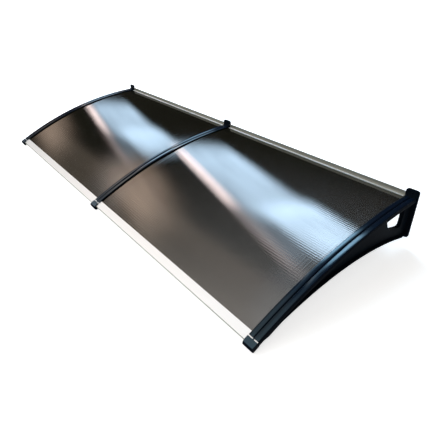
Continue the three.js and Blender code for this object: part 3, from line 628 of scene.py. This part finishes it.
floor_z = cad_low.z - FLOOR_GAP
floor_points = np.array([[-1, -1], [1, -1], [1, 1], [-1, 1]]) * FLOOR_HALF
floor_points = np.column_stack([floor_points, np.full(4, floor_z)])
floor_mesh = mesh_from("studio_floor", floor_points, np.arange(4)[None, :])
floor_mesh.materials.append(studio_floor())
floor = bpy.data.objects.new("studio_floor", floor_mesh)
bpy.context.scene.collection.objects.link(floor)

# The light
# A surround that is bright in front and dark behind, and over each bay a group of soft panels whose
# reflections lie across its sheet: a cool band, a pale streak and a warm front. One long lamp lights the
# front bars, and a weak fill stands beside the camera.
SURROUND_DARK, SURROUND_BRIGHT = 0.02, 0.95
PANEL_HEIGHT, PANEL_STEP = 2.4, 0.05
PANEL_COLOUR = linear("#c9e6ff")[:3]
STREAK_COLOUR = linear("#ffe6e0")[:3]
WARM_COLOUR = linear("#ffe0c8")[:3]
FRONT_COLOUR = linear("#ffe8d0")[:3]
STRIP_COLOUR = linear("#d3e9ff")[:3]
BAR_COLOUR = linear("#eef6ff")[:3]
FILL_COLOUR = linear("#ffffff")[:3]
# Each panel's name, place over the right bay, turn in degrees, size, soft shares, radiance and colour.
PANELS = [
    ("long_panel", (-2.2, 1.26), -20.0, (3.3, 1.32), (0.35, 0.3), 4.9, PANEL_COLOUR),
    ("long_halo", (-1.5, 0.85), -20.0, (3.4, 1.45), (0.2, 0.4), 1.6, PANEL_COLOUR),
    ("short_panel", (-0.4, 0.8), -16.0, (1.7, 1.2), (0.6, 0.4), 8.6, PANEL_COLOUR),
    ("streak", (-2.35, 0.6), -21.5, (2.4, 0.19), (0.35, 0.3), 9.0, STREAK_COLOUR),
    ("streak_tail", (-0.75, -0.04), -21.5, (2.2, 0.3), (0.7, 0.8), 1.8, STREAK_COLOUR),
    ("warm_panel", (-2.9, -0.8), -24.0, (2.7, 2.1), (0.95, 0.95), 2.2, WARM_COLOUR),
    ("front_panel", (-0.9, -1.3), 0.0, (4.2, 1.7), (0.4, 0.6), 0.55, FRONT_COLOUR),
    ("strip_panel", (0.15, -0.85), 0.0, (1.0, 1.8), (0.6, 0.5), 0.45, STRIP_COLOUR),
]
# How far each bay's panels are moved along the wall, and their share of the brightness.
BAY_PANELS = {"right": (0.0, 1.0), "left": (-3.55, 0.55)}
HARD_EDGES = (0.0, 0.0)
BAR_LAMP_PLACE, BAR_LAMP_SIZE, BAR_LAMP_RADIANCE = (-3.5, -2.5, PANEL_HEIGHT), (9.0, 1.4), 1.3
FILL_PLACE, FILL_AIM = Vector((2.4, -3.0, 2.4)), Vector((0.6, -0.4, 0.0))
FILL_SIZE, FILL_RADIANCE = (2.0, 2.0), 0.8


def studio_surround():
    """The world: bright in front and dark behind, and dimmer low down than overhead.

    Just over the horizon it is bright all round, so that a low view has no dark edge behind the floor.
    """
    front_fade, rise_fade, low_share, horizon_fade = (-0.6, -0.1), (0.1, 0.6), 0.45, (0.06, 0.2)
    surround = bpy.data.worlds.new("studio_surround")
    surround.use_nodes = True
    tree = surround.node_tree
    tree.nodes.clear()
    direction = add(tree, "ShaderNodeTexCoord").outputs["Generated"]
    heading = add(tree, "ShaderNodeSeparateXYZ", {0: direction}).outputs
    front = add(tree, "ShaderNodeMapRange", {
        "Value": heading["Y"], "From Min": front_fade[0], "From Max": front_fade[1],
        "To Min": SURROUND_BRIGHT, "To Max": SURROUND_DARK}, interpolation_type="SMOOTHSTEP")
    rise = add(tree, "ShaderNodeMapRange", {
        "Value": heading["Z"], "From Min": rise_fade[0], "From Max": rise_fade[1], "To Min": low_share,
        "To Max": 1.0})
    overhead = add(tree, "ShaderNodeMath", {0: front.outputs["Result"], 1: rise.outputs["Result"]},
                   operation="MULTIPLY")
    horizon = add(tree, "ShaderNodeMapRange", {
        "Value": heading["Z"], "From Min": horizon_fade[0], "From Max": horizon_fade[1],
        "To Min": SURROUND_BRIGHT, "To Max": 0.0}, interpolation_type="SMOOTHSTEP")
    strength = add(tree, "ShaderNodeMath", {0: overhead.outputs[0], 1: horizon.outputs["Result"]},
                   operation="MAXIMUM")
    glow = add(tree, "ShaderNodeBackground", {"Color": linear("#fffaf4"), "Strength": strength.outputs[0]})
    add(tree, "ShaderNodeOutputWorld", {"Surface": glow.outputs["Background"]})
    return surround


def area_lamp(name, place, turn, size, soft, radiance, colour):
    """A rectangular lamp behind a creased diffuser: its power is radiance times pi times its area.

    Towards each edge its brightness falls smoothly to nothing over the soft share of that half width, and
    faint creases run along it.
    """
    crease_scale, crease_span, crease_depth, middle = (2.0, 7.0, 1.0), (0.3, 0.7), 0.3, 0.5
    lamp = bpy.data.lights.new(name, "AREA")
    lamp.shape = "RECTANGLE"
    lamp.size, lamp.size_y = size
    lamp.energy = radiance * math.pi * size[0] * size[1]
    lamp.color = colour
    lamp.use_nodes = True
    tree = lamp.node_tree
    tree.nodes.clear()
    across = add(tree, "ShaderNodeNewGeometry").outputs["Parametric"]
    drawn = add(tree, "ShaderNodeMapping", {"Vector": across, "Scale": crease_scale})
    crease = add(tree, "ShaderNodeTexNoise", {"Vector": drawn.outputs["Vector"], "Scale": 1.0, "Detail": 2.0})
    level = add(tree, "ShaderNodeMapRange", {
        "Value": crease.outputs["Fac"], "From Min": crease_span[0], "From Max": crease_span[1],
        "To Min": 1 - crease_depth, "To Max": 1 + crease_depth}).outputs["Result"]
    halves = add(tree, "ShaderNodeSeparateXYZ", {0: across})
    for axis, share in zip("XY", soft):
        if share:
            offset = add(tree, "ShaderNodeMath", {0: halves.outputs[axis], 1: middle}, operation="SUBTRACT")
            distance = add(tree, "ShaderNodeMath", {0: offset.outputs[0]}, operation="ABSOLUTE")
            fall = add(tree, "ShaderNodeMapRange", {
                "Value": distance.outputs[0], "From Min": middle * (1 - share), "From Max": middle,
                "To Min": 1.0, "To Max": 0.0}, interpolation_type="SMOOTHSTEP")
            level = add(tree, "ShaderNodeMath", {0: level, 1: fall.outputs["Result"]},
                        operation="MULTIPLY").outputs[0]
    glow = add(tree, "ShaderNodeEmission", {"Strength": level})
    add(tree, "ShaderNodeOutputLight", {"Surface": glow.outputs["Emission"]})
    holder = bpy.data.objects.new(name, lamp)
    holder.location = place
    holder.rotation_euler = turn
    bpy.context.scene.collection.objects.link(holder)


bpy.context.scene.world = studio_surround()
for bay, (shift, share) in BAY_PANELS.items():
    for order, (name, (x, y), turn, size, soft, radiance, colour) in enumerate(PANELS):
        place = (x + shift, y, PANEL_HEIGHT - PANEL_STEP * order)
        area_lamp(f"{name}_{bay}", place, (0, 0, math.radians(turn)), size, soft, radiance * share, colour)
area_lamp("front_strip", BAR_LAMP_PLACE, (0, 0, 0), BAR_LAMP_SIZE, HARD_EDGES, BAR_LAMP_RADIANCE, BAR_COLOUR)
fill_turn = (FILL_AIM - FILL_PLACE).to_track_quat("-Z", "Y").to_euler()
area_lamp("fill_by_camera", FILL_PLACE, fill_turn, FILL_SIZE, HARD_EDGES, FILL_RADIANCE, FILL_COLOUR)

# The camera
# It stands to the right of the canopy and above it, as the photograph's did, and looks down the arch.
# Its place, aim and lens come from a fit of the canopy's corners to the photograph.
CAMERA_PLACE = Vector((1.7918, -1.4899, 0.8663))
CAMERA_AHEAD = Vector((-0.6552, 0.5292, -0.5392)).normalized()
CAMERA_UP = Vector((-0.4098, 0.3506, 0.8421))
CAMERA_LENS, CAMERA_SENSOR, CAMERA_REACH = 31.94, 36.0, 300.0

camera = bpy.data.cameras.new("photo_camera")
camera.sensor_width = CAMERA_SENSOR
camera.lens = CAMERA_LENS
camera.clip_end = CAMERA_REACH
camera_right = CAMERA_AHEAD.cross(CAMERA_UP).normalized()
camera_up = camera_right.cross(CAMERA_AHEAD)
eye = bpy.data.objects.new("photo_camera", camera)
eye.matrix_world = Matrix.Translation(CAMERA_PLACE) @ Matrix(
    (camera_right, camera_up, -CAMERA_AHEAD)).transposed().to_4x4()
bpy.context.scene.collection.objects.link(eye)
bpy.context.scene.camera = eye
bpy.context.scene.view_settings.view_transform = "Standard"
